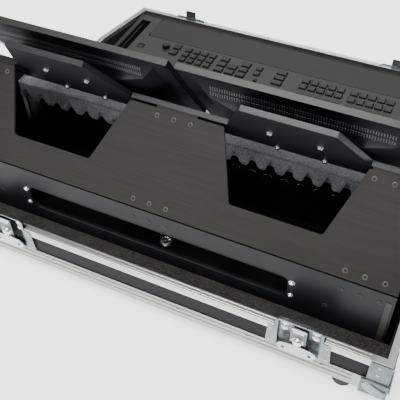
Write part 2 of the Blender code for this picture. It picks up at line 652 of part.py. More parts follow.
MAT_Z0, MAT_Z1 = 66.0, 67.5      # the mat under the face panel that carries the caps
for name, blocks in ZONES.items():
    cs = [(ku, kv, sp[6] / 2, sp[7] / 2) for sp in blocks for ku, kv in key_centres(sp)]
    a0, a1 = min(c[0] - c[2] for c in cs), max(c[0] + c[2] for c in cs)
    b0, b1 = min(c[1] - c[3] for c in cs), max(c[1] + c[3] for c in cs)
    p = Part(name, "key", ((a0 + a1) / 2, (b0 + b1) / 2, DESK_TOP))
    box(p, a0 - 0.5, a1 + 0.5, b0 - 0.5, b1 + 0.5, MAT_Z0, MAT_Z1)
    for ku, kv, hw, hd in cs:
        p.begin()
        lo = [p.v(W(ku + a, kv + b, MAT_Z0 + 0.7)) for a, b in rect(-hw, hw, -hd, hd)]
        up = [p.v(W(ku + a, kv + b, KEY_Z1 - 2.0)) for a, b in rect(-hw, hw, -hd, hd)]
        e = 2.0
        tp = [p.v(W(ku + a, kv + b, KEY_Z1)) for a, b in rect(-hw + e, hw - e, -hd + e, hd - e)]
        F = p.bm.faces.new
        F(lo)
        F(tp)
        for i in range(4):
            j = (i + 1) % 4
            F([lo[i], lo[j], up[j], up[i]])
            F([up[i], up[j], tp[j], tp[i]])
    p.done()

# convoluted foam pad lying on the raised rear part of the desk
p = Part("egg_crate_foam", "grey_foam")
box(p, -532.0, 532.0, PAD_REAR, 450.0, DESK_BACK_TOP + 1.6, PAD_TOP)
p.done()

# --------------------------------------------------------------------- stand
BEND_V = MP_V + MP_LOW * math.cos(SLOPE)        # rear plate position
BEND_Z = MP_Z + MP_LOW * math.sin(SLOPE)
RP_TOP = BEND_Z - PLATE * math.cos(SLOPE) - GAP   # under the main plate's end face

ex = STAND_HALF - 0.5


def below_main(b, drop):
    """(v, z) of a point under the main plate, drop below its lower face."""
    q = main_frame(0, b, -PLATE - drop)
    return (CASE_D / 2 - q.y * 1000.0, q.z * 1000.0 - FOOT_H)


def on_stand(s, o):
    """(v, z) of a point of the leaning upper plate."""
    q = stand_frame(0, s, o)
    return (CASE_D / 2 - q.y * 1000.0, q.z * 1000.0 - FOOT_H)


def cross2(pa, da, pb, db):
    """Where two lines in the (v, z) plane meet."""
    det = da[0] * (-db[1]) + db[0] * da[1]
    rx, ry = pb[0] - pa[0], pb[1] - pa[1]
    t = (rx * (-db[1]) + db[0] * ry) / det
    return (pa[0] + da[0] * t, pa[1] + da[1] * t)


DM = (math.cos(SLOPE), math.sin(SLOPE))       # up the main plate
DS = (-math.sin(LEAN), math.cos(LEAN))        # up the upper plate
BR_T, BR_HALF = 4.0, 46.0

p = Part("stand_rear_plate", "plate")
slot = rounded(rect(-308.0, 308.0, 146.0, 204.0), 13.0, 4)
prism(p, [rect(-STAND_HALF, STAND_HALF, BOARD_TOP + 0.6, RP_TOP), slot], f_uz, BEND_V, BEND_V + PLATE)
# cheeks folded forward at both ends
for sg in (1.0, -1.0):
    u0, u1 = sorted((sg * ex, sg * (ex - PLATE)))
    a = below_main(MP_LOW + 12.0, 1.0)
    pts = [(BEND_V + 3.0, BOARD_TOP + 1.0), (300.0, BOARD_TOP + 1.0), (309.0, 40.0), (309.0, PAD_TOP + 6.0),
           (350.0, PAD_TOP + 6.0), (350.0, 285.0), on_stand(S_LOW, -1.0),
           on_stand(S_RIDGE + 12.0, -1.0), below_main(MP_HIGH - 8.0, 0.5), a, (BEND_V + 3.0, RP_TOP - 2.0)]
    prism(p, [pts], f_vz, u0, u1)
# tabs folded in under the main plate, one behind each group of screws
for gu in SCREW_GROUPS:
    v_in = BEND_V + PLATE - 1.0
    c0 = below_main(0.0, GAP)
    z_c = c0[1] + (v_in - c0[0]) * math.tan(SLOPE)
    z_i = c0[1] - BR_T / math.cos(SLOPE) + (v_in + BR_T - c0[0]) * math.tan(SLOPE)
    pts = [(v_in, 212.0), (v_in, z_c), below_main(22.0, GAP), below_main(22.0, GAP + BR_T), (v_in + BR_T, z_i),
           (v_in + BR_T, 212.0)]
    prism(p, [pts], f_vz, gu - BR_HALF, gu + BR_HALF)
    for k in (-1, 0, 1):
        prism(p, [circle(gu + k * SCREW_PITCH, 228.0, 4.6, 10)], f_uz, BEND_V - 0.8, BEND_V + 1.0)
for su, sz, head in ((-316.0, 193.0, 3.4), (-316.0, 151.0, 3.4), (316.0, 193.0, 3.4), (316.0, 151.0, 3.4),
                     (-387.0, 161.0, 1.0), (387.0, 161.0, 1.0)):
    prism(p, [circle(su, sz, 4.8, 12)], f_uz, BEND_V - head, BEND_V + 1.0)
p.done()

# the two windows are notches open to the upper edge
WIN_LOW, WIN_IN0, WIN_IN1, WIN_OUT0, WIN_OUT1 = 49.0, 160.0, 105.0, 350.5, 396.0


def notch_side(sg):
    """Lower corners of one window, rounded."""
    tri = [(sg * WIN_OUT1, MP_HIGH), (sg * WIN_OUT0, WIN_LOW), (sg * WIN_IN0, WIN_LOW), (sg * WIN_IN1, MP_HIGH)]
    arc = rounded(tri, 7.0, 3)
    return [tri[0]] + arc[4:12] + [tri[3]]


p = Part("stand_main_plate", "plate")
H = STAND_HALF
outline = [(-H, MP_LOW), (H, MP_LOW), (H, MP_HIGH)] + notch_side(1.0) + list(reversed(notch_side(-1.0))) + [(-H, MP_HIGH)]
prism(p, [outline], main_frame, -PLATE, 0.0)
for gu in SCREW_GROUPS:
    # flange at the upper edge, folded down behind the upper plate
    d0, d1 = below_main(158.0, -1.0), below_main(158.0, BR_T)
    e0, e1 = on_stand(78.0, -GAP), on_stand(78.0, -GAP - BR_T)
    m0, m1 = cross2(d0, DM, e0, DS), cross2(d1, DM, e1, DS)
    prism(p, [[d0, m0, e0, e1, m1, d1]], f_vz, gu - BR_HALF, gu + BR_HALF)
    for k in (-1, 0, 1):
        for b in (0.0, 176.0):
            prism(p, [circle(gu + k * SCREW_PITCH, b, 4.6, 10)], main_frame, -1.0, 0.8)
p.done()

p = Part("stand_upper_plate", "plate")
H = STAND_HALF
pts = [(-H, S_LOW), (H, S_LOW), (H, S_RIDGE)]
for c in (SCREEN_PITCH / 2, -SCREEN_PITCH / 2):
    pts += [(c + FLAP_BASE, S_RIDGE), (c + FLAP_TOP, S_TOP), (c - FLAP_TOP, S_TOP), (c - FLAP_BASE, S_RIDGE)]
pts += [(-H, S_RIDGE)]
prism(p, [pts], stand_frame, 0.0, PLATE_THICK)
for c in (SCREEN_PITCH / 2, -SCREEN_PITCH / 2):
    for a in (-50.0, 50.0):
        for b in (0.0, 100.0):
            prism(p, [circle(c + a, b, 5.0, 12)], stand_frame, -3.6, 1.0)
p.done()

# cable tray behind the slot, with its hexagon bolt in the middle
p = Part("cable_tray", "plate")
t0 = BEND_V + PLATE + GAP
pts = [(t0, 118.0), (t0, 140.0), (t0 + 2.0, 140.0), (t0 + 2.0, 96.0), (t0 + 118.0, 96.0), (t0 + 118.0, 120.0),
       (t0 + 120.0, 120.0), (t0 + 120.0, 94.0), (t0, 94.0)]
prism(p, [pts], f_vz, -330.0, 330.0)
prism(p, [circle(0.0, 113.0, 10.0, 6)], f_uv, 95.0, 103.0)
p.done()

# -------------------------------------------------------------------- screens
MON_HALF = 243.0
MON_TOP, MON_LOW = -82.0, 206.0
MON_BACK, MON_FRONT = 50.0, 62.7
for tag, c in (("right", -SCREEN_PITCH / 2), ("left", SCREEN_PITCH / 2)):
    p = Part("screen_back_" + tag, "screen_shell")
    p.begin()
    # thin flat shell with a deeper bulge around the mount
    rings = [
        (MON_HALF, MON_TOP, MON_LOW, MON_FRONT - 2.5),
        (MON_HALF, MON_TOP, MON_LOW, MON_BACK),
        (208.0, -58.0, 186.0, MON_BACK - 1.0),
        (178.0, -22.0, 160.0, 30.0),
        (100.0, -10.0, 108.0, 12.9),        # mounting boss against the upper plate
    ]
    vs = []
    for h, s0, s1, o in rings:
        vs.append([p.v(stand_frame(c + a, s, o)) for a, s in rect(-h, h, s0, s1)])
    F = p.bm.faces.new
    for r0, r1 in zip(vs[:-1], vs[1:]):
        for i in range(4):
            j = (i + 1) % 4
            F([r0[i], r0[j], r1[j], r1[i]])
    F(vs[0])
    F(vs[-1])
    p.done()
    p = Part("screen_front_" + tag, "glass")
    pts = rounded(rect(c - MON_HALF, c + MON_HALF, MON_TOP, MON_LOW), 5.0, 2)
    prism(p, [pts], stand_frame, MON_FRONT - 2.2, MON_FRONT)
    p.done()
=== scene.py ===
import json
import math
import random
import bpy
import bmesh
from mathutils import Euler, Matrix, Vector, noise

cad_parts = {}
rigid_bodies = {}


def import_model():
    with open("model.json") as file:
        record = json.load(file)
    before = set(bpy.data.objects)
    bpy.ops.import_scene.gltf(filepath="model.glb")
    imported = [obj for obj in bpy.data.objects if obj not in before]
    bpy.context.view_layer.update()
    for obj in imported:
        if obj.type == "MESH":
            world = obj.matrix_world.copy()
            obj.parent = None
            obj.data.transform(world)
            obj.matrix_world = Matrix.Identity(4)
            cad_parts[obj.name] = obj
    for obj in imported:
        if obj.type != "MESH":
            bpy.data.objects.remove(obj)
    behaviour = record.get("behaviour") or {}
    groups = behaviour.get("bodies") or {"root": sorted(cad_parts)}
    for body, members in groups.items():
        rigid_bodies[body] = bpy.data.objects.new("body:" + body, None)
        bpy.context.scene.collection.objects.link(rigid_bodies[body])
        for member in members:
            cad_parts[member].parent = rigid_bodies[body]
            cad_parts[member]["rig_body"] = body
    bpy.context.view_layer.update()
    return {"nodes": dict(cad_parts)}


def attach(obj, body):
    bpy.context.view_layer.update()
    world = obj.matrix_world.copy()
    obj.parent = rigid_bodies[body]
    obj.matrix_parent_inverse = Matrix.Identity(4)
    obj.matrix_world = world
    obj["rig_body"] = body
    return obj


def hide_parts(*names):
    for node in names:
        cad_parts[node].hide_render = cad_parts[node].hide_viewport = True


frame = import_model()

NODES = frame["nodes"]
COLL = bpy.context.scene.collection

# ------------------------------------------------------------------ positions
# u across (seen from behind the desk, to the right), v depth from the rear
# face of the case, z above the case's underside, all in millimetres.
CASE_D, FOOT_H = 1000.0, 30.0
SLOPE, LEAN = math.radians(44.6), math.radians(34.0)
MP_V, MP_Z, SP_V, SP_Z = 64.0, 272.0, 193.5, 428.1
BEND_V = MP_V - 15.3 * math.cos(SLOPE)
GROUPS, PITCH, SCREEN = (-447.0, 0.0, 447.0), 37.5, 252.0


def W(u, v, z):
    return Vector((-u / 1000.0, -(v - CASE_D / 2) / 1000.0, (z + FOOT_H) / 1000.0))


def main_frame(a, b, c):
    cs, sn = math.cos(SLOPE), math.sin(SLOPE)
    return W(a, MP_V + b * cs - c * sn, MP_Z + b * sn + c * cs)


def stand_frame(a, s, o):
    cs, sn = math.cos(LEAN), math.sin(LEAN)
    return W(a, SP_V + s * sn + o * cs, SP_Z - s * cs + o * sn)


def rear_frame(a, b, c):
    """On the rear plate: across, height, out towards the rear."""
    return W(a, BEND_V - c, b)


def case_frame(a, b, c):
    """On the rear face of the case: across, height, outwards."""
    return W(a, -c, b)


# ------------------------------------------------------------------ materials
def nodes_of(name):
    m = bpy.data.materials.new(name)
    m.use_nodes = True
    nt = m.node_tree
    return m, nt, nt.nodes["Principled BSDF"]


def add(nt, kind, **kw):
    n = nt.nodes.new(kind)
    for k, v in kw.items():
        setattr(n, k, v)
    return n


def coords(nt, stretch):
    tc = add(nt, "ShaderNodeTexCoord")
    mp = add(nt, "ShaderNodeMapping")
    mp.inputs["Scale"].default_value = stretch
    nt.links.new(tc.outputs["Object"], mp.inputs["Vector"])
    return mp.outputs["Vector"]


def ramp(nt, fac, stops):
    r = add(nt, "ShaderNodeValToRGB")
    els = r.color_ramp.elements
    while len(els) < len(stops):
        els.new(0.5)
    for e, (p, c) in zip(els, stops):
        e.position = p
        e.color = (*c, 1.0) if len(c) == 3 else c
    nt.links.new(fac, r.inputs["Fac"])
    return r.outputs["Color"]


def remap(nt, fac, lo, hi):
    m = add(nt, "ShaderNodeMapRange")
    m.inputs["To Min"].default_value = lo
    m.inputs["To Max"].default_value = hi
    nt.links.new(fac, m.inputs["Value"])
    return m.outputs["Result"]


def finish_material(name, dark, light, rough, metal=0.0, grain=300.0, stretch=(1, 1, 1), detail=6.0,
                    bump=0.1, bump_mm=0.05, blot=8.0, blot_amount=0.35, spec=0.5, kind="noise", sheen=0.0):
    """Colour from a fine grain over a broad blotch, roughness and bump from the grain."""
    m, nt, b = nodes_of(name)
    vec = coords(nt, stretch)
    if kind == "noise":
        g = add(nt, "ShaderNodeTexNoise")
        g.inputs["Scale"].default_value = grain
        g.inputs["Detail"].default_value = detail
        g.inputs["Roughness"].default_value = 0.6
        fine = g.outputs["Fac"]
    else:
        g = add(nt, "ShaderNodeTexVoronoi")
        g.inputs["Scale"].default_value = grain
        fine = g.outputs["Distance"]
    nt.links.new(vec, g.inputs["Vector"])
    broad = add(nt, "ShaderNodeTexNoise")
    broad.inputs["Scale"].default_value = blot
    broad.inputs["Detail"].default_value = 3.0
    nt.links.new(coords(nt, (1, 1, 1)), broad.inputs["Vector"])
    mix = add(nt, "ShaderNodeMix")
    mix.inputs["Factor"].default_value = blot_amount
    nt.links.new(fine, mix.inputs["A"])
    nt.links.new(broad.outputs["Fac"], mix.inputs["B"])
    f = mix.outputs["Result"]
    nt.links.new(ramp(nt, f, [(0.3, dark), (0.7, light)]), b.inputs["Base Color"])
    nt.links.new(remap(nt, f, rough[0], rough[1]), b.inputs["Roughness"])
    bp = add(nt, "ShaderNodeBump")
    bp.inputs["Strength"].default_value = bump
    bp.inputs["Distance"].default_value = bump_mm / 1000.0
    nt.links.new(fine, bp.inputs["Height"])
    nt.links.new(bp.outputs["Normal"], b.inputs["Normal"])
    b.inputs["Metallic"].default_value = metal
    b.inputs["Specular IOR Level"].default_value = spec
    if sheen:
        b.inputs["Sheen Weight"].default_value = sheen
    return m


M = {
    # The three plate finishes are one black paint. The warm one on the main plate is the lit copy. The darker, bluer
    # copies for the rear plate, cable tray and upper plate are painted shade.
    "plate": finish_material("plate_black", (0.0115, 0.0111, 0.0098), (0.026, 0.0252, 0.0222), (0.36, 0.50), 0.0,
                             420.0, (0.02, 1, 1), bump=0.25, bump_mm=0.03, blot=3.0, spec=0.26),
    "plate_painted_shade": finish_material("plate_black_painted_shade", (0.0030, 0.0032, 0.0044), (0.0085, 0.0088, 0.0108), (0.30, 0.42), 0.0,
                                  420.0, (0.02, 1, 1), bump=0.2, bump_mm=0.03, blot=3.0, spec=0.16),
    "plate_upper_painted_shade": finish_material("plate_black_upper_painted_shade", (0.0065, 0.0070, 0.0090), (0.0160, 0.0168, 0.0205), (0.32, 0.44), 0.0,
                                  420.0, (0.02, 1, 1), bump=0.2, bump_mm=0.03, blot=3.0, spec=0.30),
    "plate_edge": finish_material("plate_edge", (0.035, 0.035, 0.034), (0.085, 0.084, 0.080), (0.36, 0.50), 0.1,
                                  500.0, (0.05, 1, 1), bump=0.2, spec=0.4),
    "rim": finish_material("rim_anodised", (0.54, 0.54, 0.525), (0.72, 0.72, 0.705), (0.24, 0.40), 1.0,
                           500.0, (0.02, 0.02, 1), bump=0.2, bump_mm=0.03, blot=4.0),
    "alu": finish_material("angle_anodised", (0.30, 0.30, 0.29), (0.44, 0.44, 0.43), (0.30, 0.46), 1.0,
                           520.0, (0.02, 0.02, 1), bump=0.3, bump_mm=0.04, blot=5.0),
    # darker metal for the lines where the extrusions' grooves run: painted shade in the grooves
    "groove": finish_material("groove_painted_shade", (0.12, 0.12, 0.118), (0.22, 0.22, 0.215), (0.4, 0.55), 1.0,
                              520.0, (0.02, 0.02, 1), bump=0.2),
    "zinc": finish_material("zinc_plated", (0.135, 0.16, 0.168), (0.27, 0.30, 0.305), (0.20, 0.34), 1.0,
                            60.0, bump=0.08, bump_mm=0.05, blot=14.0, blot_amount=0.5, detail=3.0),
    "zinc_mid": finish_material("zinc_pressed", (0.17, 0.205, 0.24), (0.33, 0.375, 0.42), (0.20, 0.34), 1.0,
                                60.0, bump=0.08, bump_mm=0.05, blot=14.0, blot_amount=0.5, detail=3.0),
    # a lighter copy of the zinc plating for the latch wings and rivet heads, so they read as lit against the dish:
    # painted light
    "zinc_lit": finish_material("zinc_painted_light", (0.40, 0.43, 0.425), (0.58, 0.60, 0.59), (0.16, 0.28), 1.0,
                                  60.0, bump=0.08, bump_mm=0.05, blot=14.0, blot_amount=0.5, detail=3.0),
    # a darker copy of the zinc plating for the ball corners, latch drums and tray floors: painted shade
    "zinc_shaded": finish_material("zinc_painted_shade", (0.075, 0.09, 0.093), (0.19, 0.215, 0.22), (0.24, 0.40), 1.0,
                                 60.0, bump=0.1, bump_mm=0.05, blot=14.0, blot_amount=0.5, detail=3.0),
    "bright": finish_material("bright_steel", (0.60, 0.62, 0.64), (0.86, 0.87, 0.88), (0.15, 0.28), 1.0, 260.0),
    "laminate": finish_material("laminate", (0.003, 0.0032, 0.0046), (0.010, 0.0104, 0.0135), (0.45, 0.62), 0.0,
                                420.0, kind="voronoi", bump=0.5, bump_mm=0.12, spec=0.10),
    # near black for the floor of the case, seen deep under the plates: painted shade
    "board_dark": finish_material("bottom_board_painted_shade", (0.0020, 0.0019, 0.0018), (0.0055, 0.0052, 0.0048), (0.6, 0.8), 0.0,
                                  200.0, bump=0.4, bump_mm=0.1, spec=0.1),
    "foam": finish_material("lining_foam", (0.0020, 0.0019, 0.0018), (0.052, 0.049, 0.045), (0.9, 1.0), 0.0,
                            330.0, bump=1.0, bump_mm=1.4, blot=25.0, blot_amount=0.2, spec=0.1),
    "grey_foam": finish_material("pad_foam", (0.075, 0.081, 0.091), (0.40, 0.415, 0.445), (0.92, 1.0), 0.0,
                                 300.0, bump=1.0, bump_mm=1.6, blot=20.0, blot_amount=0.25, spec=0.1),
    "housing": finish_material("desk_housing", (0.013, 0.013, 0.0132), (0.026, 0.026, 0.026), (0.48, 0.62), 0.0,
                               700.0, bump=0.35, bump_mm=0.05, blot=6.0, spec=0.22),
    # near black for the desk's rear housing, connector strip and rear end strips, darker than the housing plastic:
    # painted shade at the back of the desk
    "inside": finish_material("desk_painted_shade_black", (0.0012, 0.0013, 0.0016), (0.0040, 0.0041, 0.0046), (0.5, 0.65), 0.0,
                              500.0, bump=0.35, bump_mm=0.05, blot=6.0, spec=0.10),
    "panel": finish_material("desk_panel", (0.020, 0.020, 0.0195), (0.038, 0.0375, 0.036), (0.44, 0.58), 0.0,
                             800.0, bump=0.35, bump_mm=0.05, blot=6.0, spec=0.22),
    "key": finish_material("key_plastic", (0.005, 0.005, 0.0055), (0.014, 0.014, 0.0145), (0.34, 0.5), 0.0,
                           600.0, bump=0.25, bump_mm=0.04, blot=50.0, spec=0.24),
    "shell": finish_material("screen_shell", (0.0040, 0.0046, 0.0062), (0.0100, 0.0112, 0.0145), (0.30, 0.44), 0.0,
                             900.0, bump=0.3, bump_mm=0.04, blot=6.0, spec=0.24),
    "bezel": finish_material("screen_bezel", (0.013, 0.013, 0.0122), (0.030, 0.0295, 0.0275), (0.34, 0.46), 0.1,
                             600.0, (0.03, 1, 1), bump=0.15, spec=0.3),
    # lighter than the shell plastic the ribs belong to, for their lit tops: painted light
    "vent": finish_material("vent_rib_painted_light", (0.022, 0.022, 0.023), (0.050, 0.050, 0.052), (0.34, 0.46), 0.0,
                            600.0, bump=0.15, spec=0.5),
    "glass": finish_material("screen_glass", (0.003, 0.003, 0.0036), (0.006, 0.006, 0.0068), (0.07, 0.12), 0.0,
                             60.0, bump=0.02, bump_mm=0.01, spec=0.3),
    "rubber": finish_material("rubber", (0.008, 0.008, 0.008), (0.022, 0.022, 0.022), (0.7, 0.85), 0.0,
                              500.0, bump=0.5, bump_mm=0.1),
    "board": finish_material("circuit_board", (0.01, 0.08, 0.03), (0.02, 0.16, 0.06), (0.35, 0.5), 0.0, 200.0),
    # near black put where shade falls: screw recess floors, the screens' side faces and the front latch hooks; painted
    # shade
    "dark": finish_material("painted_shade_black", (0.0010, 0.0010, 0.0012), (0.003, 0.003, 0.0034), (0.7, 0.85), 0.0, 300.0,
                            spec=0.05),
}


# --------------------------------------------------------------- mesh helpers
def new_piece(name, bm, mats, body="case", smooth=32.0, weighted=False):
    bmesh.ops.recalc_face_normals(bm, faces=bm.faces)
    me = bpy.data.meshes.new(name)
    bm.to_mesh(me)
    bm.free()
    for m in mats:
        me.materials.append(M[m])
    me.shade_smooth()
    me.set_sharp_from_angle(angle=math.radians(smooth))
    ob = bpy.data.objects.new(name, me)
    COLL.objects.link(ob)
    if weighted:
        wn = ob.modifiers.new("even_shading", "WEIGHTED_NORMAL")
        wn.weight, wn.keep_sharp, wn.mode = 100, True, "FACE_AREA"
    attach(ob, body)
    return ob


def clone(node, mat, width=0.6, segs=2, body=None, tag=None, angle=28.0):
    """A copy of a CAD node with its flat faces joined up and its edges rounded, shown in its place."""
    src = NODES[node]
    bm = bmesh.new()
    bm.from_mesh(src.data)
    bmesh.ops.remove_doubles(bm, verts=bm.verts, dist=2e-5)
    bmesh.ops.dissolve_limit(bm, angle_limit=math.radians(1.2), verts=bm.verts, edges=bm.edges)
    if width:
        edges = [e for e in bm.edges if e.is_manifold and math.degrees(e.calc_face_angle(0.0)) > angle]
        bmesh.ops.bevel(bm, geom=edges, offset=width / 1000.0, offset_type="OFFSET", segments=segs,
                        profile=0.5, affect="EDGES", clamp_overlap=True)
    bmesh.ops.triangulate(bm, faces=[f for f in bm.faces if len(f.verts) > 4])
    ob = new_piece(node + (tag or "_finished"), bm, [mat], body or src["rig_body"], 36.0, True)
    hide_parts(node)
    return ob


def lathe(bm, frame_fn, a, b, profile, n=20, mat=0, start=0.0):
    """Turned form about the frame's third axis; profile is (radius, height) pairs, from the middle out."""
    rings = []
    for r, h in profile:
        if r < 1e-6:
            rings.append([bm.verts.new(frame_fn(a, b, h))])
        else:
            rings.append([bm.verts.new(frame_fn(a + r * math.cos(start + 2 * math.pi * k / n),
                                                b + r * math.sin(start + 2 * math.pi * k / n), h)) for k in range(n)])
    for r0, r1 in zip(rings[:-1], rings[1:]):
        for k in range(n):
            j = (k + 1) % n
            if len(r0) == 1 and len(r1) == 1:
                continue
            if len(r0) == 1:
                f = bm.faces.new([r0[0], r1[k], r1[j]])
            elif len(r1) == 1:
                f = bm.faces.new([r0[k], r0[j], r1[0]])
            else:
                f = bm.faces.new([r0[k], r0[j], r1[j], r1[k]])
            f.material_index = mat
    return rings


def block(bm, fr, a0, a1, b0, b1, c0, c1, e=0.4, mat=0):
    """Small bar with chamfered top edges."""
    lo = [bm.verts.new(fr(a, b, c0)) for a, b in ((a0, b0), (a1, b0), (a1, b1), (a0, b1))]
    md = [bm.verts.new(fr(a, b, c1 - e)) for a, b in ((a0, b0), (a1, b0), (a1, b1), (a0, b1))]
    tp = [bm.verts.new(fr(a, b, c1)) for a, b in ((a0 + e, b0 + e), (a1 - e, b0 + e), (a1 - e, b1 - e), (a0 + e, b1 - e))]
    fs = [bm.faces.new(lo), bm.faces.new(tp)]
    for i in range(4):
        j = (i + 1) % 4
        fs.append(bm.faces.new([lo[i], lo[j], md[j], md[i]]))
        fs.append(bm.faces.new([md[i], md[j], tp[j], tp[i]]))
    for f in fs:
        f.material_index = mat


# ------------------------------------------------------------------- the case
# bottom board near black: painted shade inside the case
clone("case_bottom_board", "board_dark", 0.4, 1)
for w in ("rear", "front", "left", "right"):
    clone("case_wall_" + w, "laminate", 0.4, 1)
clone("rim_frame", "rim", 0.7, 3)
clone("bottom_angle_frame", "alu", 0.6, 2)
ob = clone("foam_lining", "foam", 2.2, 3)
for fb in ("rear", "front"):
    for lr in ("left", "right"):
        # ball corners and latch drums in the darker zinc copy: painted shade
        clone("ball_corner_%s_%s" % (fb, lr), "zinc_shaded", 0.9, 2)
        clone("rubber_foot_%s_%s" % (fb, lr), "rubber", 2.0, 3)
        clone("latch_dish_%s_%s" % (fb, lr), "zinc", 0.5, 2)
        clone("latch_drum_%s_%s" % (fb, lr), "zinc_shaded", 0.6, 2)
        # wings in the lighter zinc copy: painted light
        clone("latch_wing_%s_%s" % (fb, lr), "zinc_lit", 0.8, 2)

# raised beads that run along the extrusions, as drawn aluminium has
bm = bmesh.new()


def bead(bm, fr, a0, a1, b, c, r=0.7, n=6, mat=0):
    ends = []
    for a in (a0, a1):
        ends.append([bm.verts.new(fr(a, b + r * 1.6 * math.cos(math.pi * k / (n - 1)), c + r * math.sin(math.pi * k / (n - 1))))
                     for k in range(n)])
    for k in range(n - 1):
        bm.faces.new([ends[0][k], ends[0][k + 1], ends[1][k + 1], ends[1][k]]).material_index = mat
    bm.faces.new([ends[0][0], ends[0][-1], ends[1][-1], ends[1][0]]).material_index = mat
    bm.faces.new(ends[0]).material_index = mat
    bm.faces.new(list(reversed(ends[1]))).material_index = mat


def front_frame(a, b, c):
    return W(a, CASE_D + c, b)


rear_runs = [(-500.0, -411.0), (-303.0, 303.0), (411.0, 500.0)]
front_runs = [(-500.0, -424.0), (-316.0, 254.0), (362.0, 500.0)]
for a0, a1 in rear_runs:
    bead(bm, case_frame, a0, a1, 108.5, -0.05)
    bead(bm, case_frame, a0, a1, 98.0, -0.05, 0.5)
for a0, a1 in front_runs:
    bead(bm, front_frame, a0, a1, 60.5, -0.05)
for a0, a1 in rear_runs:
    bead(bm, lambda a, b, c: W(a, b, 116.0 + c), a0, a1, 4.0, -0.05, 0.5)
    bead(bm, lambda a, b, c: W(a, b, 116.0 + c), a0, a1, 11.5, -0.05, 0.5)
for a0, a1 in front_runs:
    bead(bm, lambda a, b, c: W(a, CASE_D - b, 68.0 + c), a0, a1, 4.0, -0.05, 0.5)
    bead(bm, lambda a, b, c: W(a, CASE_D - b, 68.0 + c), a0, a1, 11.5, -0.05, 0.5)
new_piece("rim_beads", bm, ["rim"], "case")
bm = bmesh.new()
for zz, r in ((41.0, 0.7), (5.0, 0.7)):
    bead(bm, case_frame, -478.0, 478.0, zz, -0.05, r)
    bead(bm, front_frame, -478.0, 478.0, zz, -0.05, r)
new_piece("angle_beads", bm, ["alu"], "case")
# thin bars in the darker groove metal along the angle: painted shade where its grooves run
bm = bmesh.new()
for zz in (37.0, 34.0, 22.0, 19.0):
    for fr in (case_frame, front_frame):
        block(bm, fr, -476.0, 476.0, zz - 0.4, zz + 0.4, -0.1, 0.5, 0.1)
new_piece("angle_lines", bm, ["groove"], "case")
# the same along the rim: painted shade in its grooves
bm = bmesh.new()
for a0, a1 in rear_runs:
    for zz in (111.5, 104.5):
        block(bm, case_frame, a0, a1, zz - 0.35, zz + 0.35, -0.1, 0.28, 0.1)
for a0, a1 in front_runs:
    for zz in (63.5, 56.5):
        block(bm, front_frame, a0, a1, zz - 0.35, zz + 0.35, -0.1, 0.28, 0.1)
new_piece("rim_lines", bm, ["groove"], "case")

# domed rivet heads over the CAD's flat ones, on the angle, latches and braces
DOME = [(0.0, 2.0), (1.6, 1.85), (3.0, 1.35), (4.0, 0.6), (4.5, -0.1)]
SMALL = [(0.0, 1.6), (1.3, 1.45), (2.3, 1.0), (3.1, 0.35), (3.4, -0.1)]
bm = bmesh.new()
for k in range(-3, 3):
    lathe(bm, case_frame, (k + 0.5) * 164.0, 29.5, [(r, h + 0.9) for r, h in DOME], 16)
    lathe(bm, front_frame, (k + 0.5) * 164.0, 29.5, [(r, h + 0.9) for r, h in DOME], 16)
for lu in (-357.0, 357.0):
    for sg in (-1, 1):
        for zz in (55.0, 98.0):
            lathe(bm, case_frame, lu + sg * 60.0, zz, [(r, h + 1.5) for r, h in SMALL], 14)
for su in (-1, 1):
    for zz in (72.0, 100.0):
        lathe(bm, case_frame, su * 522.0, zz, [(r, h + 1.8) for r, h in SMALL], 14)
        lathe(bm, lambda a, b, c, s=su: W(s * (545.0 + c), a, b), 24.0, zz, [(r, h + 1.8) for r, h in SMALL], 14)
# rivet heads in the lighter zinc copy: painted light
new_piece("case_rivet_heads", bm, ["zinc_lit"], "case")

# smooth pressed lobes running from each corner along the two faces
for su, lr in ((1.0, "left"), (-1.0, "right")):
    for rear, fb in ((True, "rear"), (False, "front")):
        bm = bmesh.new()
        for face in (0, 1):
            def at(a, b, c, su=su, rear=rear, face=face):
                # a inwards from the corner, b height, c outwards
                if face == 0:
                    return W(su * (545.0 - a), -c if rear else CASE_D + c, b)
                return W(su * (545.0 + c), a if rear else CASE_D - a, b)
            NS, NT = 18, 12
            rows = []
            for i in range(NS + 1):
                s = i / NS
                ca, cb = 46.0 - 44.0 * s, 33.0 - 24.0 * s ** 0.8
                ta, tb = -44.0, -26.0
                ln = math.hypot(ta, tb)
                pa, pb = -tb / ln, ta / ln
                w = 13.5 * math.sqrt(max(0.0, 1.0 - (1.0 - min(1.0, s * 3.0 + 0.03)) ** 2)) + 3.0 * s
                h = 1.6 + 3.6 * math.sin(math.pi * min(1.0, s * 1.1 + 0.05) / 2)
                rows.append([bm.verts.new(at(max(-1.0, ca + pa * w * math.cos(math.pi * k / NT)),
                                             max(0.5, cb + pb * w * math.cos(math.pi * k / NT)),
                                             4.7 + h * math.sin(math.pi * k / NT) ** 0.7)) for k in range(NT + 1)])
            for r0, r1 in zip(rows[:-1], rows[1:]):
                for k in range(NT):
                    bm.faces.new([r0[k], r0[k + 1], r1[k + 1], r1[k]])
        new_piece("corner_lobes_%s_%s" % (fb, lr), bm, ["zinc_mid"], "case", 60.0)

